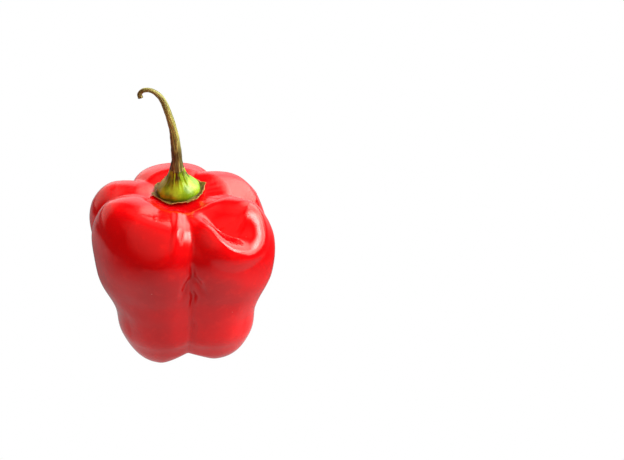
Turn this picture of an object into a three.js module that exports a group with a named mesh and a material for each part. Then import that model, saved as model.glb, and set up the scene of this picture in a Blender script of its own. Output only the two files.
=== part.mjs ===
// Habanero pepper: a five-lobed red pod standing on its blossom end, a green calyx on its
// shoulder and a long stalk that hooks over to the left.
// Millimetres, +Z up. Azimuth 0 is the right (+X), 90 the back (+Y), 270 the front (-Y).
import * as THREE from "three";
import { mergeVertices } from "three/addons/utils/BufferGeometryUtils.js";

// ---- dimensions ---------------------------------------------------------

// The pod as a plain round body: station (0 at the calyx seat, 1 at the blossom scar),
// radius and height.
const BODY = [
  [0.0, 0.0, 39.9],
  [0.08, 5.0, 40.1],
  [0.18, 11.8, 42.2],
  [0.3, 19.4, 40.4],
  [0.43, 23.4, 32.6],
  [0.56, 22.0, 22.4],
  [0.68, 17.9, 13.2],
  [0.79, 16.6, 6.0],
  [0.88, 12.3, -0.4],
  [0.95, 6.4, 0.0],
  [1.0, 0.0, 1.4],
];

// Where the pod's axis stands, so that the whole pepper is centred over the origin.
const AXIS = [0.31, -0.36];

// The shoulder leans: the seat is lower at the front and the left.
const LEAN_FRONT = 0.19;
const LEAN_LEFT = 0.08;
const LEAN_REACH = 11;

// Grooves, troughs and soft swellings or dips on that body. Each runs along a path of azimuth,
// station and push (outward in mm, inward when negative), and fades out at `reach` mm. A trough
// has one reach on its left and one on its right, seen from outside.
const SOFT = "soft";
const SHARP = "sharp";
const TROUGH = "trough";
const GROOVE_REACH = 11;
const FOLDS = [
  {
    name: "front groove",
    shape: SHARP,
    reach: 13,
    path: [[272, 0.06, -0.2], [278, 0.14, -1.4], [281, 0.22, -2.8], [281, 0.31, -3.4],
      [280, 0.42, -3.2], [279, 0.54, -2.9], [278, 0.67, -2.4], [276, 0.8, -2.2], [275, 0.9, -2.2],
      [275, 0.97, -0.8]],
  },
  {
    name: "right groove",
    shape: SHARP,
    reach: GROOVE_REACH,
    path: [[352, 0.08, -0.2], [359, 0.18, -1.6], [364, 0.3, -3], [362, 0.43, -2.6], [358, 0.56, -1.6],
      [356, 0.68, -1.2], [356, 0.8, -1.2], [356, 0.9, -1.4], [356, 0.97, -0.4]],
  },
  {
    name: "back right groove",
    shape: SHARP,
    reach: GROOVE_REACH,
    path: [[72, 0.08, -0.2], [72, 0.18, -1.8], [70, 0.3, -3.2], [68, 0.43, -3], [66, 0.56, -2.2],
      [64, 0.68, -1.6], [62, 0.8, -1.6], [60, 0.9, -1.6], [60, 0.97, -0.4]],
  },
  {
    name: "back left groove",
    shape: SHARP,
    reach: GROOVE_REACH,
    path: [[150, 0.08, -0.2], [144, 0.18, -1.8], [138, 0.3, -3.2], [134, 0.43, -2.8], [130, 0.56, -2],
      [128, 0.68, -1.6], [128, 0.8, -1.6], [128, 0.9, -1.6], [128, 0.97, -0.4]],
  },
  {
    name: "left groove",
    shape: SHARP,
    reach: GROOVE_REACH,
    path: [[196, 0.12, -0.1], [190, 0.2, -1.4], [186, 0.3, -2.8], [183, 0.43, -2.6], [182, 0.56, -1.6],
      [182, 0.68, -1.2], [184, 0.8, -1.2], [184, 0.9, -1.4], [184, 0.97, -0.4]],
  },
  {
    name: "sloping right shoulder",
    shape: SOFT,
    reach: 15,
    path: [[6, 0.24, -1.2], [0, 0.33, -1.4], [4, 0.42, -1.6]],
  },
  {
    name: "smaller right back lobe",
    shape: SOFT,
    reach: 14,
    path: [[34, 0.28, -1.8], [28, 0.42, -1.8], [26, 0.56, -0.6]],
  },
  {
    name: "full right side",
    shape: SOFT,
    reach: 14,
    path: [[340, 0.52, 0.8], [338, 0.66, 0.8], [338, 0.78, 0.8]],
  },
  { name: "front left shoulder", shape: SOFT, reach: 12, path: [[212, 0.28, 0.9], [208, 0.36, 0.2]] },
  { name: "front left flank", shape: SOFT, reach: 12, path: [[202, 0.47, -0.9]] },
  { name: "left back shoulder", shape: SOFT, reach: 10, path: [[160, 0.26, -0.3], [168, 0.38, 0.6]] },
  { name: "rear shoulder", shape: SOFT, reach: 10, path: [[104, 0.24, -0.8]] },
  {
    name: "hollow in the front right lobe",
    shape: TROUGH,
    reach: [4.8, 11.8],
    path: [[299, 0.14, -0.5], [301, 0.2, -2.2], [303, 0.26, -3.6], [306, 0.32, -4.2],
      [310, 0.355, -3.7], [314, 0.375, -2.9]],
  },
  {
    name: "ridge round the hollow",
    shape: SOFT,
    reach: 4.8,
    path: [[292, 0.22, 0.4], [292, 0.3, 0.6], [295, 0.37, 0.8], [303, 0.42, 1], [314, 0.425, 1.1],
      [324, 0.4, 1.1], [332, 0.34, 0.9], [337, 0.28, 0.5], [337, 0.22, 0.2]],
  },
  {
    name: "fuller left front waist",
    shape: SOFT,
    reach: 8,
    path: [[226, 0.7, 0.4], [240, 0.7, 0.9], [262, 0.7, 0.9]],
  },
  {
    name: "fuller right front waist",
    shape: SOFT,
    reach: 8,
    path: [[292, 0.7, 0.9], [308, 0.7, 0.9], [322, 0.7, 0.4]],
  },
  {
    name: "slimmer below the front bulge",
    shape: SOFT,
    reach: 7,
    path: [[236, 0.58, -0.4], [262, 0.58, -0.5], [300, 0.58, -0.5]],
  },
  {
    name: "notch between the front feet",
    shape: SOFT,
    reach: 7,
    path: [[277, 0.84, -0.5], [276, 0.9, -1.6], [275, 0.96, -1.8]],
  },
  {
    name: "shorter front right foot",
    shape: SOFT,
    reach: 9,
    path: [[302, 0.84, -0.3], [302, 0.92, -0.9]],
  },
  {
    name: "pleat beside the front groove",
    shape: SOFT,
    reach: 1.8,
    path: [[268, 0.12, 0.2], [270, 0.2, 0.6], [271, 0.27, 0.7], [270, 0.34, 0.6], [269, 0.42, 0.1]],
  },
  {
    name: "valley left of the pleat",
    shape: SOFT,
    reach: 6,
    path: [[258, 0.15, -0.2], [257, 0.22, -0.5], [255, 0.3, -0.6], [252, 0.38, -0.5],
      [249, 0.44, -0.1]],
  },
];
const CREASE_ROUNDING = 0.35; // radius at the bottom of a groove
const CREASE_POWER = 2.2; // how quickly a groove's sides flatten
const TROUGH_POWER = 1.2;
const TROUGH_EASE = 0.9; // rounds a trough off towards its rim

// Calyx: a thin ragged collar round a dome that narrows to a neck.
const CALYX_CENTRE = [-0.75, 1.0, 40.35];
const CALYX_PITCH = 9; // degrees towards the front
const CALYX_ROLL = 2; // degrees towards the left
const COLLAR_RADIUS = 6.0;
const COLLAR_EDGE = 0.3; // thickness of the collar's edge
const SEAT_GAP = 0.3; // clearance from the pod's skin
const CURL = 0.3; // how far the collar's edge turns up, and how much more at each tooth
const TOOTH_CURL = 0.35;
const DOME = [ // radius, height over the collar's plane
  [4.78, -0.1], [5.0, 0.4], [5.03, 0.95], [4.8, 1.55], [4.35, 2.1], [3.78, 2.65], [3.22, 3.2],
  [2.75, 3.85], [2.35, 4.65], [1.95, 5.6],
];
const TEETH = [ // azimuth of each tooth on the collar's edge, and how far it sticks out
  [20, 0.8], [72, 0.5], [122, 0.9], [160, 0.3], [200, 0.9], [257, 0.3], [316, 0.4],
];
const TOOTH_WIDTH = 15; // degrees either side of its tip

// Stalk: points along its centre line, with the radius there.
const STALK = [
  [-0.96, 0.06, 46.27, 1.75],
  [-0.94, 0.0, 47.4, 1.5],
  [-0.9, 0.05, 48.6, 1.29],
  [-1.0, 0.2, 50.8, 1.2],
  [-1.2, 0.3, 53.3, 1.12],
  [-1.5, 0.4, 55.8, 0.96],
  [-2.05, 0.5, 58.3, 0.87],
  [-2.75, 0.6, 60.7, 0.82],
  [-3.5, 0.7, 62.8, 0.76],
  [-4.4, 0.8, 64.4, 0.68],
  [-5.7, 0.8, 65.6, 0.58],
  [-7.0, 0.8, 66.1, 0.54],
  [-8.35, 0.8, 65.95, 0.52],
  [-9.15, 0.8, 65.1, 0.54],
  [-9.0, 0.8, 64.2, 0.64],
];

// Fineness of the meshes.
const POD_DIVISIONS = 24;
const POD_GRID_TURN = -18; // degrees: keeps the grid's corners out of the grooves
const CALYX_SEGMENTS = 72;
const STALK_SIDES = 16;
const STALK_STEPS = 3; // rings per stretch of the centre line

const radians = THREE.MathUtils.degToRad;

// ---- pod ----------------------------------------------------------------

// Smooth curve through hand-set rows of numbers, at position u (one unit per row).
function through(rows, u) {
  const i = Math.min(Math.floor(u), rows.length - 2);
  const f = u - i;
  const at = (k) => {
    if (k < 0) return rows[0].map((v, c) => 2 * v - rows[1][c]);
    if (k >= rows.length) return rows.at(-1).map((v, c) => 2 * v - rows.at(-2)[c]);
    return rows[k];
  };
  const [a, b, c, d] = [at(i - 1), at(i), at(i + 1), at(i + 2)];
  return b.map((_, k) => 0.5 * (2 * b[k] + (c[k] - a[k]) * f
    + (2 * a[k] - 5 * b[k] + 4 * c[k] - d[k]) * f * f
    + (3 * b[k] - a[k] - 3 * c[k] + d[k]) * f ** 3));
}

// Radius and height of the round body at a station. The curve is mirrored past both ends, so
// the body closes smoothly on its axis.
function bodyAt(station) {
  const mirror = ([s, r, z], end) => [2 * end - s, -r, z];
  const rows = [mirror(BODY[1], 0), ...BODY, mirror(BODY.at(-2), 1)];
  let i = 1;
  while (i < rows.length - 3 && station >= rows[i + 1][0]) i += 1;
  const [a, b, c, d] = rows.slice(i - 1, i + 3);
  const span = c[0] - b[0];
  const u = (station - b[0]) / span;
  return [1, 2].map((k) => {
    const m0 = (c[k] - a[k]) / (c[0] - a[0]) * span;
    const m1 = (d[k] - b[k]) / (d[0] - b[0]) * span;
    return (2 * u ** 3 - 3 * u ** 2 + 1) * b[k] + (u ** 3 - 2 * u ** 2 + u) * m0
      + (3 * u ** 2 - 2 * u ** 3) * c[k] + (u ** 3 - u ** 2) * m1;
  });
}

// Point on the round body and the outward direction there.
function bodyPoint(azimuth, station) {
  const a = radians(azimuth);
  const step = 1e-3;
  const [r, z] = bodyAt(station);
  const before = bodyAt(Math.max(station - step, 0));
  const after = bodyAt(Math.min(station + step, 1));
  const out = new THREE.Vector2(before[1] - after[1], after[0] - before[0]).normalize();
  return {
    point: new THREE.Vector3(r * Math.cos(a), r * Math.sin(a), z),
    normal: new THREE.Vector3(out.x * Math.cos(a), out.x * Math.sin(a), out.y),
  };
}

// Each fold as a chain of points on the body, with the push at each.
const chains = FOLDS.map((fold) => {
  const path = fold.path.length > 1 ? fold.path : [fold.path[0], fold.path[0]];
  const points = [];
  for (let u = 0; u <= (path.length - 1) * 6; u++) {
    const [azimuth, station, push] = through(path, u / 6);
    const { point, normal } = bodyPoint(azimuth, station);
    points.push({ at: point, normal, push });
  }
  return { ...fold, points };
});

// How far a fold moves the skin at a point of the body.
function foldPush(chain, point) {
  let nearest = Infinity;
  let side = 0; // -1 straight to the left of the path, 1 straight to its right
  let push = 0;
  const ab = new THREE.Vector3();
  const off = new THREE.Vector3();
  const across = new THREE.Vector3();
  for (let i = 0; i < chain.points.length - 1; i++) {
    const a = chain.points[i];
    const b = chain.points[i + 1];
    ab.subVectors(b.at, a.at);
    off.subVectors(point, a.at);
    const u = THREE.MathUtils.clamp(off.dot(ab) / Math.max(ab.lengthSq(), 1e-9), 0, 1);
    const distance = off.addScaledVector(ab, -u).length();
    if (distance < nearest) {
      nearest = distance;
      push = a.push + u * (b.push - a.push);
      across.crossVectors(a.normal, ab).normalize();
      side = THREE.MathUtils.clamp(off.dot(across) / Math.max(distance, 1e-6), -1, 1);
    }
  }
  const [left, right] = chain.shape === TROUGH ? chain.reach : [chain.reach, chain.reach];
  const reach = (left + right) / 2 + (right - left) / 2 * side;
  const x = Math.min(nearest / reach, 1);
  if (chain.shape === SOFT) return push * (1 - x * x) ** 2;
  const e = CREASE_ROUNDING / reach;
  const rounded = (Math.hypot(x, e) - e) / (Math.hypot(1, e) - e);
  return push * (1 - rounded) ** (chain.shape === SHARP ? CREASE_POWER : TROUGH_POWER + TROUGH_EASE * x);
}

function podPoint(azimuth, station) {
  const { point, normal } = bodyPoint(azimuth, station);
  const push = chains.reduce((sum, chain) => sum + foldPush(chain, point), 0);
  const moved = point.addScaledVector(normal, push);
  const r = Math.hypot(moved.x, moved.y);
  if (station < 0.5) {
    moved.z += (LEAN_FRONT * moved.y + LEAN_LEFT * moved.x) * Math.exp(-((r / LEAN_REACH) ** 2));
  }
  moved.z = Math.max(moved.z, 0); // the feet are pressed flat where the pod stands
  return moved;
}

// Height of the pod's shoulder under a point close to the calyx.
function shoulderHeight(x, y) {
  const azimuth = THREE.MathUtils.radToDeg(Math.atan2(y, x));
  let low = 0;
  let high = 0.25;
  for (let i = 0; i < 24; i++) {
    const middle = (low + high) / 2;
    const p = podPoint(azimuth, middle);
    if (Math.hypot(p.x, p.y) < Math.hypot(x, y)) low = middle;
    else high = middle;
  }
  return podPoint(azimuth, (low + high) / 2).z;
}

function podGeometry() {
  const n = POD_DIVISIONS;
  const box = new THREE.BoxGeometry(2, 2, 2, n, n, n);
  const position = box.getAttribute("position");
  const d = new THREE.Vector3();
  for (let i = 0; i < position.count; i++) {
    d.fromBufferAttribute(position, i);
    d.set(...d.toArray().map((v) => Math.tan(v * Math.PI / 4))).normalize();
    const azimuth = THREE.MathUtils.radToDeg(Math.atan2(d.y, d.x)) + POD_GRID_TURN;
    const station = Math.acos(THREE.MathUtils.clamp(d.z, -1, 1)) / Math.PI;
    position.setXYZ(i, ...podPoint(azimuth, station).toArray());
  }
  box.deleteAttribute("uv");
  box.deleteAttribute("normal");
  return box;
}

// ---- rings --------------------------------------------------------------

// Closed skin over rings of points, each ring counter-clockwise seen from the end it leads to.
function skin(rings) {
  const n = rings[0].length;
  const middle = (ring) => ring.reduce((sum, p) => sum.add(p), new THREE.Vector3()).divideScalar(n);
  const points = [...rings.flat(), middle(rings[0]), middle(rings.at(-1))];
  const index = [];
  for (let i = 0; i < n; i++) {
    const j = (i + 1) % n;
    for (let k = 0; k < rings.length - 1; k++) {
      const [a, b, c, d] = [k * n + i, k * n + j, (k + 1) * n + j, (k + 1) * n + i];
      index.push(a, b, c, a, c, d);
    }
    index.push(points.length - 2, j, i);
    index.push(points.length - 1, (rings.length - 1) * n + i, (rings.length - 1) * n + j);
  }
  const geometry = new THREE.BufferGeometry().setFromPoints(points);
  geometry.setIndex(index);
  return geometry;
}

// ---- calyx --------------------------------------------------------------

function calyxGeometry() {
  const up = new THREE.Vector3(-Math.sin(radians(CALYX_ROLL)), -Math.sin(radians(CALYX_PITCH)), 0);
  up.z = Math.sqrt(1 - up.lengthSq());
  const right = new THREE.Vector3(1, 0, 0).addScaledVector(up, -up.x).normalize();
  const back = new THREE.Vector3().crossVectors(up, right);
  const place = (azimuth, r, h) => new THREE.Vector3(...CALYX_CENTRE)
    .addScaledVector(right, r * Math.cos(azimuth))
    .addScaledVector(back, r * Math.sin(azimuth))
    .addScaledVector(up, h);
  const tooth = (azimuth) => TEETH.reduce((sum, [at, size]) => {
    const off = Math.abs(((THREE.MathUtils.radToDeg(azimuth) - at + 540) % 360) - 180);
    return sum + size * Math.max(1 - off / TOOTH_WIDTH, 0) ** 1.3;
  }, 0);
  // A point clear of the pod: never lower than the seat gap over its skin.
  const clear = (p, gap) => p.setZ(Math.max(p.z, shoulderHeight(p.x, p.y) + gap));
  const ring = (make) => Array.from({ length: CALYX_SEGMENTS },
    (_, i) => make(2 * Math.PI * i / CALYX_SEGMENTS));
  const edge = (a) => COLLAR_RADIUS + tooth(a);
  const curl = (a) => CURL + TOOTH_CURL * tooth(a);
  const top = SEAT_GAP + COLLAR_EDGE;
  const rings = [
    ...[0.5, 1.8, 3.2, 4.4, 5.2].map((r) => ring((a) => clear(place(a, r, -9), SEAT_GAP))),
    ring((a) => clear(place(a, edge(a) - 0.5, curl(a) - 0.45), SEAT_GAP)),
    ring((a) => clear(place(a, edge(a), curl(a) + 0.06), SEAT_GAP + 0.2)),
    ring((a) => clear(place(a, edge(a) - 0.12, curl(a) + 0.12), top)),
    ring((a) => clear(place(a, edge(a) - 0.42, curl(a) - 0.12), top)),
    ring((a) => clear(place(a, 5.2, 0), top)),
    ...DOME.map(([r, h]) => ring((a) => clear(place(a, r, h), top + 0.05))),
  ];
  return skin(rings);
}

// ---- stalk --------------------------------------------------------------

function stalkGeometry() {
  const count = (STALK.length - 1) * STALK_STEPS;
  const rows = Array.from({ length: count + 1 }, (_, i) => through(STALK, i / STALK_STEPS));
  const centre = rows.map(([x, y, z]) => new THREE.Vector3(x, y, z));
  const depth = new THREE.Vector3(0, 1, 0);
  return skin(centre.map((p, i) => {
    const along = centre[Math.min(i + 1, count)].clone().sub(centre[Math.max(i - 1, 0)]).normalize();
    const back = depth.clone().addScaledVector(along, -depth.dot(along)).normalize();
    const side = new THREE.Vector3().crossVectors(along, back);
    return Array.from({ length: STALK_SIDES }, (_, k) => {
      const a = 2 * Math.PI * k / STALK_SIDES;
      return p.clone()
        .addScaledVector(back, rows[i][3] * Math.cos(a))
        .addScaledVector(side, rows[i][3] * Math.sin(a));
    });
  }));
}

// ---- the pepper ---------------------------------------------------------

function piece(name, geometry, color, roughness) {
  const merged = mergeVertices(geometry, 1e-4).translate(...AXIS, 0);
  merged.computeVertexNormals();
  const mesh = new THREE.Mesh(merged, new THREE.MeshStandardMaterial({ color, roughness, metalness: 0 }));
  mesh.name = name;
  return mesh;
}

const pepper = new THREE.Group();
pepper.name = "habanero_pepper";
pepper.add(
  piece("pod", podGeometry(), 0xc8101a, 0.25),
  piece("calyx", calyxGeometry(), 0x8fa32a, 0.5),
  piece("stem", stalkGeometry(), 0x7c8038, 0.7),
);

export default pepper;
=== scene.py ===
"""Looks of the habanero pepper: a fine skin for the pod, calyx and stalk, and the studio."""
import math

import bpy
import numpy as np
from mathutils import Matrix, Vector


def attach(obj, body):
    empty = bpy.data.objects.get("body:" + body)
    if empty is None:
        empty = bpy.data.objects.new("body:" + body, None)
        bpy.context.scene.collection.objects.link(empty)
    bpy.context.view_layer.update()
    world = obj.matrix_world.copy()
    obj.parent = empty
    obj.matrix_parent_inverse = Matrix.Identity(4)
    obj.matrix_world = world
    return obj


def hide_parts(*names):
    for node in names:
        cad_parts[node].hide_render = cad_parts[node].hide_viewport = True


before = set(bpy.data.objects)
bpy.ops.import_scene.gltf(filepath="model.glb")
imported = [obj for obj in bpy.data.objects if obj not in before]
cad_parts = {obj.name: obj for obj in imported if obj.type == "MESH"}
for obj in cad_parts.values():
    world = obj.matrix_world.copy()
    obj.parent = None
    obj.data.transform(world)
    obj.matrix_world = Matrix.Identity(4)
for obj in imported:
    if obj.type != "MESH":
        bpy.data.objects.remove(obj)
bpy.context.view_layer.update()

MM = 0.001

# ---- shape of the pod ------------------------------------------------------
# Azimuth 0 is the right (+X), 90 the back (+Y), 270 the front. Millimetres.

# Station (0 at the calyx seat, 1 at the blossom scar), radius and height of the round body.
BODY = np.array([
    [0.0, 0.0, 39.9],
    [0.08, 5.0, 40.1],
    [0.18, 11.8, 42.2],
    [0.3, 19.4, 40.4],
    [0.43, 23.4, 32.6],
    [0.56, 22.0, 22.4],
    [0.68, 17.9, 13.2],
    [0.79, 16.6, 6.0],
    [0.88, 12.3, -0.4],
    [0.95, 6.4, 0.0],
    [1.0, 0.0, 1.4],
])
AXIS = (0.31, -0.36)  # where the pod's axis stands
LEAN_FRONT = 0.19  # the shoulder is lower at the front and the left
LEAN_LEFT = 0.08
LEAN_REACH = 11.0
CREASE_ROUNDING = 0.35
CREASE_POWER = 2.2
TROUGH_POWER = 1.2
TROUGH_EASE = 0.9  # rounds a trough off towards its rim
PLEATS = 23  # fine radial ones, just outside the calyx
PLEAT_DEPTH = 0.035
PLEAT_RADIUS = 8.0
PLEAT_WIDTH = 2.2
GROOVE_REACH = 11.0

# Name, shape across, how far it reaches (a trough: on its left and right, seen from outside) and
# its path: azimuth, station, push outward.
FOLDS = [
    ("front groove", "sharp", 13.0, [
        (272, 0.06, -0.2), (278, 0.14, -1.4), (281, 0.22, -2.8), (281, 0.31, -3.4),
        (280, 0.42, -3.2), (279, 0.54, -2.9), (278, 0.67, -2.4), (276, 0.8, -2.2),
        (275, 0.9, -2.2), (275, 0.97, -0.8)]),
    ("right groove", "sharp", GROOVE_REACH, [
        (352, 0.08, -0.2), (359, 0.18, -1.6), (364, 0.3, -3.0), (362, 0.43, -2.6),
        (358, 0.56, -1.6), (356, 0.68, -1.2), (356, 0.8, -1.2), (356, 0.9, -1.4),
        (356, 0.97, -0.4)]),
    ("back right groove", "sharp", GROOVE_REACH, [
        (72, 0.08, -0.2), (72, 0.18, -1.8), (70, 0.3, -3.2), (68, 0.43, -3.0),
        (66, 0.56, -2.2), (64, 0.68, -1.6), (62, 0.8, -1.6), (60, 0.9, -1.6),
        (60, 0.97, -0.4)]),
    ("back left groove", "sharp", GROOVE_REACH, [
        (150, 0.08, -0.2), (144, 0.18, -1.8), (138, 0.3, -3.2), (134, 0.43, -2.8),
        (130, 0.56, -2.0), (128, 0.68, -1.6), (128, 0.8, -1.6), (128, 0.9, -1.6),
        (128, 0.97, -0.4)]),
    ("left groove", "sharp", GROOVE_REACH, [
        (196, 0.12, -0.1), (190, 0.2, -1.4), (186, 0.3, -2.8), (183, 0.43, -2.6),
        (182, 0.56, -1.6), (182, 0.68, -1.2), (184, 0.8, -1.2), (184, 0.9, -1.4),
        (184, 0.97, -0.4)]),
    ("sloping right shoulder", "soft", 15.0, [(6, 0.24, -1.2), (0, 0.33, -1.4), (4, 0.42, -1.6)]),
    ("smaller right back lobe", "soft", 14.0, [(34, 0.28, -1.8), (28, 0.42, -1.8), (26, 0.56, -0.6)]),
    ("full right side", "soft", 14.0, [(340, 0.52, 0.8), (338, 0.66, 0.8), (338, 0.78, 0.8)]),
    ("front left shoulder", "soft", 12.0, [(212, 0.28, 0.9), (208, 0.36, 0.2)]),
    ("front left flank", "soft", 12.0, [(202, 0.47, -0.9)]),
    ("left back shoulder", "soft", 10.0, [(160, 0.26, -0.3), (168, 0.38, 0.6)]),
    ("rear shoulder", "soft", 10.0, [(104, 0.24, -0.8)]),
    ("hollow in the front right lobe", "trough", (4.8, 11.8), [
        (299, 0.14, -0.5), (301, 0.2, -2.2), (303, 0.26, -3.6), (306, 0.32, -4.2),
        (310, 0.355, -3.7), (314, 0.375, -2.9)]),
    ("ridge round the hollow", "soft", 4.8, [
        (292, 0.22, 0.4), (292, 0.30, 0.6), (295, 0.37, 0.8), (303, 0.42, 1.0),
        (314, 0.425, 1.1), (324, 0.4, 1.1), (332, 0.34, 0.9), (337, 0.28, 0.5),
        (337, 0.22, 0.2)]),
    ("fuller left front waist", "soft", 8.0, [(226, 0.7, 0.4), (240, 0.7, 0.9), (262, 0.7, 0.9)]),
    ("fuller right front waist", "soft", 8.0, [(292, 0.7, 0.9), (308, 0.7, 0.9), (322, 0.7, 0.4)]),
    ("slimmer below the front bulge", "soft", 7.0, [
        (236, 0.58, -0.4), (262, 0.58, -0.5), (300, 0.58, -0.5)]),
    ("notch between the front feet", "soft", 7.0, [(277, 0.84, -0.5), (276, 0.9, -1.6), (275, 0.96, -1.8)]),
    ("shorter front right foot", "soft", 9.0, [(302, 0.84, -0.3), (302, 0.92, -0.9)]),
    ("pleat beside the front groove", "soft", 1.8, [
        (268, 0.12, 0.2), (270, 0.2, 0.6), (271, 0.27, 0.7), (270, 0.34, 0.6), (269, 0.42, 0.1)]),
    ("valley left of the pleat", "soft", 6.0, [
        (258, 0.15, -0.2), (257, 0.22, -0.5), (255, 0.3, -0.6), (252, 0.38, -0.5), (249, 0.44, -0.1)]),
    ("crease in the front groove", "sharp", 1.6, [
        (279, 0.44, -0.1), (280, 0.5, -0.6), (279, 0.55, -0.3), (281, 0.59, -0.8),
        (279, 0.65, -0.2), (280, 0.7, -0.6), (278, 0.77, -0.2), (277, 0.84, -0.2)]),
    ("wrinkle left of the groove", "sharp", 1.8, [(278, 0.5, -0.2), (275, 0.535, -0.7), (272, 0.58, -0.2)]),
    ("wrinkle right of the groove", "sharp", 1.8, [(281, 0.5, -0.2), (284, 0.525, -0.8), (287, 0.56, -0.2)]),
]
POD_DIVISIONS = 128
POD_GRID_TURN = -18.0  # degrees: keeps the grid's corners out of the grooves


def body_at(stations):
    """Radius and height of the round body; mirrored past both ends, so it closes smoothly."""
    first, last = BODY[1], BODY[-2]
    rows = np.vstack([[-first[0], -first[1], first[2]], BODY, [2 - last[0], -last[1], last[2]]])
    s = rows[:, 0]
    i = np.clip(np.searchsorted(s, stations, side="right") - 1, 1, len(s) - 3)
    span = s[i + 1] - s[i]
    u = (stations - s[i]) / span
    out = []
    for k in (1, 2):
        y = rows[:, k]
        m0 = (y[i + 1] - y[i - 1]) / (s[i + 1] - s[i - 1]) * span
        m1 = (y[i + 2] - y[i]) / (s[i + 2] - s[i]) * span
        out.append((2 * u**3 - 3 * u**2 + 1) * y[i] + (u**3 - 2 * u**2 + u) * m0
                   + (3 * u**2 - 2 * u**3) * y[i + 1] + (u**3 - u**2) * m1)
    return out


def body_points(azimuths, stations):
    """Points on the round body and the outward directions there."""
    step = 1e-3
    a = np.radians(azimuths)
    r, z = body_at(stations)
    r0, z0 = body_at(np.maximum(stations - step, 0))
    r1, z1 = body_at(np.minimum(stations + step, 1))
    nr, nz = z0 - z1, r1 - r0
    length = np.hypot(nr, nz)
    nr, nz = nr / length, nz / length
    return (np.stack([r * np.cos(a), r * np.sin(a), z], -1),
            np.stack([nr * np.cos(a), nr * np.sin(a), nz], -1))


def through(rows, per):
    """Smooth curve through rows of numbers, `per` steps between each two."""
    rows = np.array(rows, float)
    if len(rows) == 1:
        rows = np.vstack([rows, rows])
    rows = np.vstack([2 * rows[0] - rows[1], rows, 2 * rows[-1] - rows[-2]])
    out = []
    for i in range(1, len(rows) - 2):
        a, b, c, d = rows[i - 1:i + 3]
        for u in np.arange(per) / per:
            out.append(0.5 * (2 * b + (c - a) * u + (2 * a - 5 * b + 4 * c - d) * u**2
                              + (3 * b - a - 3 * c + d) * u**3))
    out.append(rows[-2])
    return np.array(out)


def to_path(points, at, outward, push):
    """Distance from each point to a chain of points, which side it lies on, and the push there."""
    nearest = np.full(len(points), np.inf)
    side = np.zeros(len(points))
    amount = np.zeros(len(points))
    for i in range(len(at) - 1):
        ab = at[i + 1] - at[i]
        u = np.clip((points - at[i]) @ ab / max(ab @ ab, 1e-9), 0, 1)
        off = points - at[i] - u[:, None] * ab
        d = np.linalg.norm(off, axis=1)
        across = np.cross(outward[i], ab)
        across /= max(np.linalg.norm(across), 1e-9)
        closer = d < nearest
        nearest[closer] = d[closer]
        side[closer] = (off @ across / np.maximum(d, 1e-6))[closer]
        amount[closer] = (push[i] + u * (push[i + 1] - push[i]))[closer]
    return nearest, np.clip(side, -1, 1), amount


def pod_points(azimuths, stations):
    points, normals = body_points(azimuths, stations)
    total = np.zeros(len(points))
    for _, kind, reach, path in FOLDS:
        line = through(path, 6)
        at, outward = body_points(line[:, 0], line[:, 1])
        distance, side, push = to_path(points, at, outward, line[:, 2])
        if kind == "trough":
            left, right = reach
            reach = (left + right) / 2 + (right - left) / 2 * side
        x = np.minimum(distance / reach, 1)
        if kind == "soft":
            fade = (1 - x * x) ** 2
        else:
            e = CREASE_ROUNDING / reach
            rounded = (np.hypot(x, e) - e) / (np.hypot(1, e) - e)
            fade = (1 - rounded) ** (CREASE_POWER if kind == "sharp" else TROUGH_POWER + TROUGH_EASE * x)
        total += push * fade
    a = np.radians(azimuths)
    r = np.hypot(points[:, 0], points[:, 1])
    near_calyx = np.exp(-((r - PLEAT_RADIUS) / PLEAT_WIDTH) ** 2)
    pleats = np.cos(PLEATS * a + 2.5 * np.sin(3 * a)) * near_calyx * (1.2 - np.sin(a)) / 2
    total += np.where(stations < 0.5, PLEAT_DEPTH * pleats, 0)
    points = points + normals * total[:, None]
    r = np.hypot(points[:, 0], points[:, 1])
    lean = (LEAN_FRONT * points[:, 1] + LEAN_LEFT * points[:, 0]) * np.exp(-(r / LEAN_REACH) ** 2)
    points[:, 2] += np.where(stations < 0.5, lean, 0)
    points[:, 2] = np.maximum(points[:, 2], 0)
    return points


def shoulder_table():
    """Heights of the pod's skin near the calyx: a row per degree, a column per tenth of a mm."""
    count = 40
    azimuths, stations = np.meshgrid(np.arange(360.0), np.linspace(0, 0.2, count), indexing="ij")
    p = pod_points(azimuths.ravel(), stations.ravel()).reshape(360, count, 3)
    r = np.hypot(p[..., 0], p[..., 1])
    return np.array([np.interp(SHOULDER_RADII, r[i], p[i, :, 2]) for i in range(360)])


SHOULDER_RADII = np.arange(0, 10, 0.1)
SHOULDER = shoulder_table()


def shoulder_height(x, y):
    """Height of the pod's skin under points close to the calyx."""
    a = np.degrees(np.arctan2(y, x)) % 360
    r = np.hypot(x, y) * 10
    i, j = a.astype(int), np.minimum(r.astype(int), len(SHOULDER_RADII) - 2)
    u, v = a - i, r - j
    i, k = i % 360, (i + 1) % 360
    return ((1 - u) * ((1 - v) * SHOULDER[i, j] + v * SHOULDER[i, j + 1])
            + u * ((1 - v) * SHOULDER[k, j] + v * SHOULDER[k, j + 1]))


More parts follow.
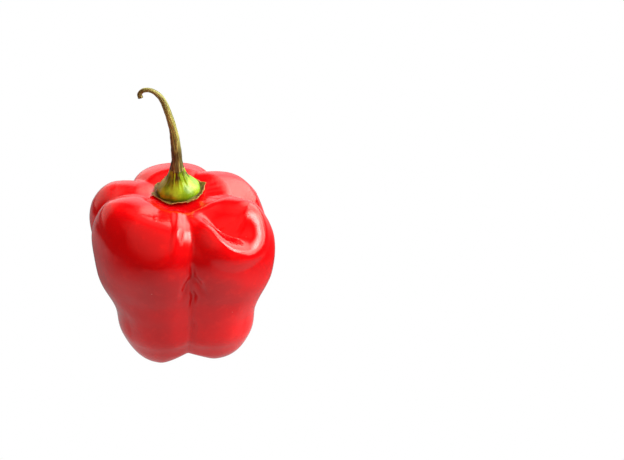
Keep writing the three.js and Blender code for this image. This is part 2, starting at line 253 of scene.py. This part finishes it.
def cube_sphere(n):
    """Directions and quads of an even grid over a sphere."""
    u = np.tan(np.linspace(-np.pi / 4, np.pi / 4, n + 1))
    faces = [((1, 0, 0), (0, 1, 0), (0, 0, 1)), ((-1, 0, 0), (0, -1, 0), (0, 0, 1)),
             ((0, 1, 0), (-1, 0, 0), (0, 0, 1)), ((0, -1, 0), (1, 0, 0), (0, 0, 1)),
             ((0, 0, 1), (1, 0, 0), (0, 1, 0)), ((0, 0, -1), (1, 0, 0), (0, -1, 0))]
    gx, gy = np.meshgrid(u, u, indexing="ij")
    points = []
    quads = []
    for face, (centre, x, y) in enumerate(faces):
        p = np.array(centre) + gx[..., None] * np.array(x) + gy[..., None] * np.array(y)
        points.append((p / np.linalg.norm(p, axis=-1, keepdims=True)).reshape(-1, 3))
        k = face * (n + 1) ** 2 + np.arange((n + 1) ** 2).reshape(n + 1, n + 1)
        quads.append(np.stack([k[:-1, :-1], k[1:, :-1], k[1:, 1:], k[:-1, 1:]], -1).reshape(-1, 4))
    points = np.concatenate(points)
    _, first, index = np.unique(np.round(points, 6), axis=0, return_index=True, return_inverse=True)
    return points[first], index.reshape(-1)[np.concatenate(quads)]


def mesh_object(name, points, faces):
    mesh = bpy.data.meshes.new(name)
    moved = (points + [AXIS[0], AXIS[1], 0]) * MM
    mesh.from_pydata(moved.tolist(), [], [tuple(int(i) for i in f) for f in faces])
    mesh.polygons.foreach_set("use_smooth", [True] * len(mesh.polygons))
    mesh.update()
    obj = bpy.data.objects.new(name, mesh)
    bpy.context.scene.collection.objects.link(obj)
    return obj


directions, quads = cube_sphere(POD_DIVISIONS)
azimuths = np.degrees(np.arctan2(directions[:, 1], directions[:, 0])) + POD_GRID_TURN
stations = np.arccos(np.clip(directions[:, 2], -1, 1)) / np.pi
pod = mesh_object("pod_skin", pod_points(azimuths, stations), quads)


# ---- calyx and stalk -------------------------------------------------------

CALYX_CENTRE = np.array([-0.75, 1.0, 40.35])
CALYX_PITCH = 9.0
CALYX_ROLL = 2.0
COLLAR_RADIUS = 6.0
SEAT_GAP = 0.3
COLLAR_EDGE = 0.3
DOME = [
    (4.78, -0.1), (5.0, 0.4), (5.03, 0.95), (4.8, 1.55), (4.35, 2.1), (3.78, 2.65), (3.22, 3.2),
    (2.75, 3.85), (2.35, 4.65), (1.95, 5.6), (1.72, 6.4),
]
TEETH = [(20, 0.8), (72, 0.5), (122, 0.9), (160, 0.3), (200, 0.9), (257, 0.3), (316, 0.4)]
TOOTH_WIDTH = 15.0
STALK = [
    (-0.96, 0.06, 46.27, 1.75), (-0.94, 0.0, 47.4, 1.5), (-0.9, 0.05, 48.6, 1.29),
    (-1.0, 0.2, 50.8, 1.2), (-1.2, 0.3, 53.3, 1.12), (-1.5, 0.4, 55.8, 0.96),
    (-2.05, 0.5, 58.3, 0.87), (-2.75, 0.6, 60.7, 0.82), (-3.5, 0.7, 62.8, 0.76),
    (-4.4, 0.8, 64.4, 0.68), (-5.7, 0.8, 65.6, 0.58), (-7.0, 0.8, 66.1, 0.54),
    (-8.35, 0.8, 65.95, 0.52), (-9.15, 0.8, 65.1, 0.54), (-9.0, 0.8, 64.2, 0.64),
]


def skin(rings):
    """Faces of a closed skin over rings of points, with a middle point at each end."""
    n = len(rings[0])
    points = np.vstack([*rings, rings[0].mean(0), rings[-1].mean(0)])
    i = np.arange(n)
    j = (i + 1) % n
    faces = []
    for k in range(len(rings) - 1):
        faces += np.stack([k * n + i, k * n + j, (k + 1) * n + j, (k + 1) * n + i], -1).tolist()
    last = (len(rings) - 1) * n
    faces += [[len(points) - 2, b, a] for a, b in zip(i, j)]
    faces += [[len(points) - 1, last + a, last + b] for a, b in zip(i, j)]
    return points, faces


def waves(turn, rows):
    """Uneven swelling round a turn: a sum of waves as count, size and phase."""
    return sum(size * np.sin(count * turn + phase) for count, size, phase in rows)


def grain(obj, values, name="grain"):
    """A vector at each point that runs with the piece's fibres, for its material."""
    attribute = obj.data.attributes.new(name, "FLOAT_VECTOR", "POINT")
    attribute.data.foreach_set("vector", np.array(values, float).ravel())


CALYX_SEGMENTS = 360
turn = 2 * np.pi * np.arange(CALYX_SEGMENTS) / CALYX_SEGMENTS
up = np.array([-math.sin(math.radians(CALYX_ROLL)), -math.sin(math.radians(CALYX_PITCH)), 0])
up[2] = math.sqrt(1 - up @ up)
right = np.array([1.0, 0, 0]) - up * up[0]
right /= np.linalg.norm(right)
back = np.cross(up, right)
tooth = np.zeros(CALYX_SEGMENTS)
for at, size in TEETH:
    off = np.abs((np.degrees(turn) - at + 540) % 360 - 180)
    tooth += size * np.maximum(1 - off / TOOTH_WIDTH, 0) ** 1.3


def calyx_ring(r, h, gap):
    p = (CALYX_CENTRE + np.cos(turn)[:, None] * right * np.reshape(r, (-1, 1))
         + np.sin(turn)[:, None] * back * np.reshape(r, (-1, 1)) + np.reshape(h, (-1, 1)) * up)
    p[:, 2] = np.maximum(p[:, 2], shoulder_height(p[:, 0], p[:, 1]) + gap)
    return p


ragged = waves(turn, [(3, 0.1, 0.6), (7, 0.09, 2.0), (17, 0.06, 1.0), (29, 0.05, 4.0), (53, 0.04, 0.3)])
curl = 0.3 + 0.35 * tooth + waves(turn, [(4, 0.1, 1.0), (9, 0.09, 3.0), (23, 0.05, 5.0), (41, 0.03, 2.0)])
edge = COLLAR_RADIUS + tooth + ragged
lumps = waves(turn, [(2, 0.02, 0.5), (5, 0.018, 2.2), (9, 0.012, 4.0)])
ribs = waves(turn, [(9, 0.03, 1.0), (16, 0.022, 0.0), (27, 0.012, 2.0)])
rings = [calyx_ring(r, -9.0, SEAT_GAP) for r in (0.5, 1.8, 3.2, 4.4, 5.2)]
rings += [
    calyx_ring(edge - 0.5, curl - 0.45, SEAT_GAP),
    calyx_ring(edge - 0.1, curl - 0.1, SEAT_GAP + 0.1),
    calyx_ring(edge, curl + 0.06, SEAT_GAP + 0.2),
    calyx_ring(edge - 0.12, curl + 0.12, SEAT_GAP + COLLAR_EDGE),
    calyx_ring(edge - 0.42, curl - 0.12, SEAT_GAP + COLLAR_EDGE),
    calyx_ring(5.35 + 0.5 * ragged, 0.3 * curl - 0.12, SEAT_GAP + COLLAR_EDGE),
    calyx_ring(5.0, -0.22, SEAT_GAP + COLLAR_EDGE - 0.02),
]
collar = [0, 0, 0, 0, 0, 0.35, 0.85, 1, 0.9, 0.45, 0.15, 0]  # how near each ring is to the cut edge
for r, h in through(DOME, 5):
    neck = min(max((h - 1.5) / 2.5, 0), 1)
    swell = 1 + lumps * (1 - neck) + 0.7 * ribs * neck**2
    rings.append(calyx_ring(r * swell, h, SEAT_GAP + COLLAR_EDGE + 0.05))
calyx = mesh_object("calyx_skin", *skin(rings))
heights = [-1.0] * len(collar) + [h for _, h in through(DOME, 5)]
collar += [0] * (len(rings) - len(collar))
grain(calyx, [[math.cos(t), math.sin(t), h * 0.12] for h in heights for t in turn]
      + [[0, 0, heights[0]], [0, 0, heights[-1] * 0.12]])
grain(calyx, [[e, h, 0] for e, h in zip(collar, heights) for t in turn]
      + [[0, heights[0], 0], [0, heights[-1], 0]], "place")

STALK_SIDES = 72
rows = through(STALK, 12)
centre = rows[:, :3]
along = np.gradient(centre, axis=0)
along /= np.linalg.norm(along, axis=1)[:, None]
rings = []
around = 2 * np.pi * np.arange(STALK_SIDES) / STALK_SIDES
lengths = np.concatenate([[0], np.cumsum(np.linalg.norm(np.diff(centre, axis=0), axis=1))])
fibres = []
for p, t, radius, length in zip(centre, along, rows[:, 3], lengths):
    b = np.array([0, 1.0, 0]) - t * t[1]
    b /= np.linalg.norm(b)
    s = np.cross(t, b)
    twist = 0.05 * length
    wander = 1 + 0.3 * math.sin(0.4 * length)
    ribs = waves(around, [(5, 0.035, twist), (9, 0.03, wander + twist), (14, 0.02, 2.0)])
    knots = 1 + 0.02 * math.sin(1.7 * length) + 0.015 * math.sin(3.9 * length + 1)
    size = (radius * knots * (1 + ribs))[:, None]
    rings.append(p + size * (np.cos(around)[:, None] * b + np.sin(around)[:, None] * s))
    fibres += [[math.cos(a), math.sin(a), 0.12 * length] for a in around]
stem = mesh_object("stem_skin", *skin(rings))
fibres += [[0, 0, 0], [0, 0, 0.12 * lengths[-1]]]
grain(stem, fibres)


# ---- materials -------------------------------------------------------------

def clear_tree(owner):
    owner.use_nodes = True
    owner.node_tree.nodes.clear()
    return owner.node_tree


def node(tree, kind, inputs=(), **settings):
    """A shader node with its settings, each input given as a value or as another node's output."""
    n = tree.nodes.new(kind)
    for key, value in settings.items():
        setattr(n, key, value)
    for key, value in dict(inputs).items():
        if isinstance(value, bpy.types.NodeSocket):
            tree.links.new(value, n.inputs[key])
        else:
            n.inputs[key].default_value = value
    return n


def noise(tree, where, scale, detail=2.0):
    texture = node(tree, "ShaderNodeTexNoise", {"Vector": where, "Scale": scale, "Detail": detail})
    return texture.outputs["Fac"]


def between(tree, value, low, high, to_low=0.0, to_high=1.0, smooth=True):
    """A value brought from one range to another, and held at its ends."""
    kind = "SMOOTHSTEP" if smooth else "LINEAR"
    return node(tree, "ShaderNodeMapRange", {
        "Value": value, "From Min": low, "From Max": high, "To Min": to_low, "To Max": to_high},
        interpolation_type=kind).outputs[0]


def mixed(tree, amount, color_a, color_b):
    """Color a going to color b by an amount from 0 to 1; either color may be another mix."""
    n = node(tree, "ShaderNodeMix", {0: amount}, data_type="RGBA")
    for key, color in ((6, color_a), (7, color_b)):
        if isinstance(color, bpy.types.NodeSocket):
            tree.links.new(color, n.inputs[key])
        else:
            n.inputs[key].default_value = (*color, 1)
    return n.outputs[2]


def times(tree, a, b, operation="MULTIPLY"):
    return node(tree, "ShaderNodeMath", {0: a, 1: b}, operation=operation).outputs[0]


def attribute(tree, name):
    values = node(tree, "ShaderNodeAttribute", attribute_name=name, attribute_type="GEOMETRY")
    return values.outputs["Vector"]


def bumped(tree, height, depth, below=None):
    inputs = {"Height": height, "Distance": depth}
    if below is not None:
        inputs["Normal"] = below
    return node(tree, "ShaderNodeBump", inputs).outputs["Normal"]


def finish_material(tree, color, roughness, normal, **sockets):
    inputs = {"Base Color": color, "Roughness": roughness, "Normal": normal}
    inputs.update({key.replace("_", " "): value for key, value in sockets.items()})
    shader = node(tree, "ShaderNodeBsdfPrincipled", inputs)
    node(tree, "ShaderNodeOutputMaterial", {"Surface": shader.outputs[0]})


def new_material(name):
    m = bpy.data.materials.new(name)
    return m, clear_tree(m)


def pod_material():
    """Waxy red skin: patches of deeper and brighter red, pores, faint specks and a fine orange peel."""
    m, tree = new_material("waxy red skin")
    where = node(tree, "ShaderNodeTexCoord").outputs["Object"]
    patches = between(tree, noise(tree, where, 90, 3), 0.35, 0.68)
    color = mixed(tree, patches, (0.64, 0.0012, 0.004), (0.74, 0.002, 0.005))
    mottle = between(tree, noise(tree, where, 520, 4), 0.5, 0.75)
    color = mixed(tree, times(tree, mottle, 0.35), color, (0.88, 0.012, 0.008))
    cells = node(tree, "ShaderNodeTexVoronoi", {"Vector": where, "Scale": 230.0})
    chance = node(tree, "ShaderNodeSeparateColor", {0: cells.outputs["Color"]}).outputs[0]
    some = between(tree, chance, 0.6, 0.64)
    speck = times(tree, between(tree, cells.outputs["Distance"], 0.05, 0.02), some)
    color = mixed(tree, times(tree, speck, 0.55), color, (0.85, 0.3, 0.24))
    roughness = between(tree, noise(tree, where, 340, 4), 0.35, 0.7, 0.09, 0.15)
    swell = bumped(tree, noise(tree, where, 180, 2), 0.00012)
    peel = bumped(tree, noise(tree, where, 1100, 3), 0.000012, swell)
    finish_material(tree, color, roughness, bumped(tree, speck, 0.00003, peel), IOR=1.5,
                    Subsurface_Weight=0.5, Subsurface_Radius=(0.01, 0.002, 0.002), Subsurface_Scale=1.0)
    return m


def calyx_material():
    """Fleshy green dome with a browned neck, painted shade darkening its foot towards the channel, and a dry
    pale edge round the collar.
    """
    m, tree = new_material("fleshy green calyx")
    fibres = attribute(tree, "grain")
    where = node(tree, "ShaderNodeTexCoord").outputs["Object"]
    place = node(tree, "ShaderNodeSeparateXYZ", {0: attribute(tree, "place")})
    edge, height = place.outputs[0], place.outputs[1]
    patches = between(tree, noise(tree, where, 420, 3), 0.35, 0.65)
    color = mixed(tree, patches, (0.12, 0.4, 0.004), (0.3, 0.7, 0.014))
    streaks = between(tree, noise(tree, fibres, 3.2, 4), 0.42, 0.58)
    neck = between(tree, height, 2.9, 5.2)
    color = mixed(tree, times(tree, streaks, neck), color, (0.045, 0.05, 0.012))
    # Painted shade: the foot of the dome is darkened towards the channel between the dome and the collar.
    low = between(tree, height, 0.9, -0.1)
    color = mixed(tree, times(tree, low, 0.5), color, (0.12, 0.2, 0.015))
    flap = between(tree, height, -0.05, -0.3)
    rust = between(tree, noise(tree, where, 900, 4), 0.4, 0.62)
    color = mixed(tree, flap, color, mixed(tree, rust, (0.09, 0.08, 0.014), (0.2, 0.2, 0.03)))
    uneven = between(tree, noise(tree, fibres, 9, 3), 0.3, 0.55, 0.3, 1.0)
    rim = times(tree, between(tree, edge, 0.7, 0.95), uneven)
    color = mixed(tree, rim, color, (0.42, 0.34, 0.1))
    roughness = mixed(tree, flap, (0.3, 0.3, 0.3), (0.6, 0.6, 0.6))
    dents = bumped(tree, noise(tree, where, 500, 3), 0.00014)
    ribbing = times(tree, noise(tree, fibres, 4, 4), between(tree, height, 1.5, 4.0, 0.25, 1.0))
    finish_material(tree, color, roughness, bumped(tree, ribbing, 0.00022, dents), IOR=1.45)
    return m


def stem_material():
    """Ribbed stalk: olive green with brown fibres, browner at the neck and greyish pink at the tip."""
    m, tree = new_material("ribbed green stalk")
    fibres = attribute(tree, "grain")
    length = node(tree, "ShaderNodeSeparateXYZ", {0: fibres}).outputs[2]
    stretched = node(tree, "ShaderNodeVectorMath", {0: fibres, 1: (1.0, 1.0, 0.7)},
                     operation="MULTIPLY").outputs[0]
    patches = between(tree, noise(tree, stretched, 2.2, 2), 0.38, 0.62)
    color = mixed(tree, patches, (0.12, 0.18, 0.03), (0.42, 0.58, 0.15))
    streaks = between(tree, noise(tree, fibres, 3.4, 5), 0.52, 0.68)
    color = mixed(tree, times(tree, streaks, 0.75), color, (0.035, 0.042, 0.014))
    stains = between(tree, noise(tree, fibres, 2.6, 4), 0.38, 0.56)
    neck = times(tree, between(tree, length, 1.15, 0.45), stains)
    color = mixed(tree, times(tree, neck, 0.85), color, (0.038, 0.036, 0.012))
    tip = between(tree, length, 2.9, 3.6)
    color = mixed(tree, times(tree, tip, 0.75), color, (0.24, 0.22, 0.28))
    height = noise(tree, fibres, 5.5, 5)
    roughness = between(tree, streaks, 0, 1, 0.42, 0.65)
    finish_material(tree, color, roughness, bumped(tree, height, 0.00025), IOR=1.45)
    return m


for obj, replaced, slot, material in (
        (pod, "pod", "pod_skin", pod_material()),
        (calyx, "calyx", "calyx_green", calyx_material()),
        (stem, "stem", "stalk", stem_material())):
    obj.data.materials.append(material)
    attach(obj, "root")
    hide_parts(replaced)

# ---- studio ----------------------------------------------------------------

WHITE = (1.0, 0.97, 0.92)
WARM = (1.0, 0.86, 0.76)
COOL = (0.92, 0.96, 1.0)
RED = (1.0, 0.04, 0.03)
# Soft light from round about: azimuth and elevation, half width of its even middle, half width
# where it has faded away, brightness and color.
GLOWS = [
    ("softbox, bright middle", 350, 40, 1, 15, 9.0, WHITE),
    ("softbox, upper part", 352, 42, 10, 25, 6.5, WARM),
    ("softbox, lower part", 8, 20, 9, 24, 5.0, WARM),
    ("right back sheet", 46, 34, 12, 40, 4.0, WARM),
    ("ceiling, right back", 60, 66, 8, 34, 0.5, WARM),
    ("front room", 250, 46, 14, 48, 0.36, WARM),
    ("red fill in front", 285, -5, 20, 75, 0.4, RED),
    ("red glow from the pepper beside it", 345, -8, 12, 42, 1.1, RED),
    ("left back wall", 130, 8, 14, 38, 0.75, WARM),
    ("back wall, low", 88, 0, 14, 34, 0.8, COOL),
]
BOUNCE = ((1.0, 0.1, 0.09), 0.42)  # what the room sends back: color and brightness
# Lit parts of the table: the middle, the radius of its even part, where it has faded, brightness.
TABLE_LIGHTS = [
    ((0.0, -0.03), 0.015, 0.085, 0.54),
    ((-0.12, 0.03), 0.02, 0.11, 0.4),
    ((-0.02, 0.28), 0.1, 0.26, 0.6),
]

scene = bpy.context.scene
scene.view_settings.view_transform = "Standard"


def glow_world():
    world = bpy.data.worlds.new("studio")
    tree = clear_tree(world)
    where = node(tree, "ShaderNodeTexCoord").outputs["Generated"]
    total = node(tree, "ShaderNodeBackground", {"Color": (*BOUNCE[0], 1), "Strength": BOUNCE[1]}).outputs[0]
    for name, azimuth, elevation, even, faded, strength, color in GLOWS:
        a, e = math.radians(azimuth), math.radians(elevation)
        middle = (math.cos(e) * math.cos(a), math.cos(e) * math.sin(a), math.sin(e))
        dot = node(tree, "ShaderNodeVectorMath", {0: where, 1: middle}, operation="DOT_PRODUCT", label=name)
        fade = node(tree, "ShaderNodeMapRange", {
            "Value": dot.outputs["Value"], "From Min": math.cos(math.radians(faded)),
            "From Max": math.cos(math.radians(even)), "To Max": strength}, interpolation_type="SMOOTHSTEP")
        light = node(tree, "ShaderNodeBackground", {"Color": (*color, 1), "Strength": fade.outputs[0]})
        total = node(tree, "ShaderNodeAddShader", {0: total, 1: light.outputs[0]}).outputs[0]
    backdrop = node(tree, "ShaderNodeBackground", {"Color": (1, 1, 1, 1), "Strength": 1.0})
    seen = node(tree, "ShaderNodeLightPath").outputs["Is Camera Ray"]
    mix = node(tree, "ShaderNodeMixShader", {0: seen, 1: total, 2: backdrop.outputs[0]})
    node(tree, "ShaderNodeOutputWorld", {"Surface": mix.outputs[0]})
    return world


def floor_material():
    """White to look at, and lit as a pool round the pepper for what it sends up."""
    m = bpy.data.materials.new("floor")
    tree = clear_tree(m)
    where = node(tree, "ShaderNodeNewGeometry").outputs["Position"]
    total = None
    for (x, y), even, faded, strength in TABLE_LIGHTS:
        off = node(tree, "ShaderNodeVectorMath", {0: where, 1: (x, y, 0)}, operation="DISTANCE")
        pool = between(tree, off.outputs["Value"], even, faded, strength, 0.02)
        total = pool if total is None else times(tree, total, pool, "ADD")
    lit = node(tree, "ShaderNodeEmission", {"Color": (1, 1, 1, 1), "Strength": total})
    white = node(tree, "ShaderNodeEmission", {"Color": (1, 1, 1, 1), "Strength": 1.0})
    seen = node(tree, "ShaderNodeLightPath").outputs["Is Camera Ray"]
    mix = node(tree, "ShaderNodeMixShader", {0: seen, 1: lit.outputs[0], 2: white.outputs[0]})
    node(tree, "ShaderNodeOutputMaterial", {"Surface": mix.outputs[0]})
    return m


bpy.ops.mesh.primitive_plane_add(size=1, location=(0, 0.2, 0))
floor = bpy.context.object
floor.name = "floor"
floor.scale = (1.6, 1.2, 1)
floor.data.materials.append(floor_material())
scene.world = glow_world()

# Camera: looks down at the photograph's angle, with the pepper left of the middle.
ELEVATION = math.radians(25)
DISTANCE = 0.45
FIELD_WIDTH = 0.15013  # width seen at the aim point
camera_data = bpy.data.cameras.new("camera")
camera = bpy.data.objects.new("camera", camera_data)
scene.collection.objects.link(camera)
aim = Vector((0.03135, -0.00036, 0.03053))
camera.location = aim + DISTANCE * Vector((0, -math.cos(ELEVATION), math.sin(ELEVATION)))
camera.rotation_euler = (aim - camera.location).to_track_quat("-Z", "Y").to_euler()
camera_data.sensor_width = 36
camera_data.lens = 36 * DISTANCE / FIELD_WIDTH
scene.camera = camera
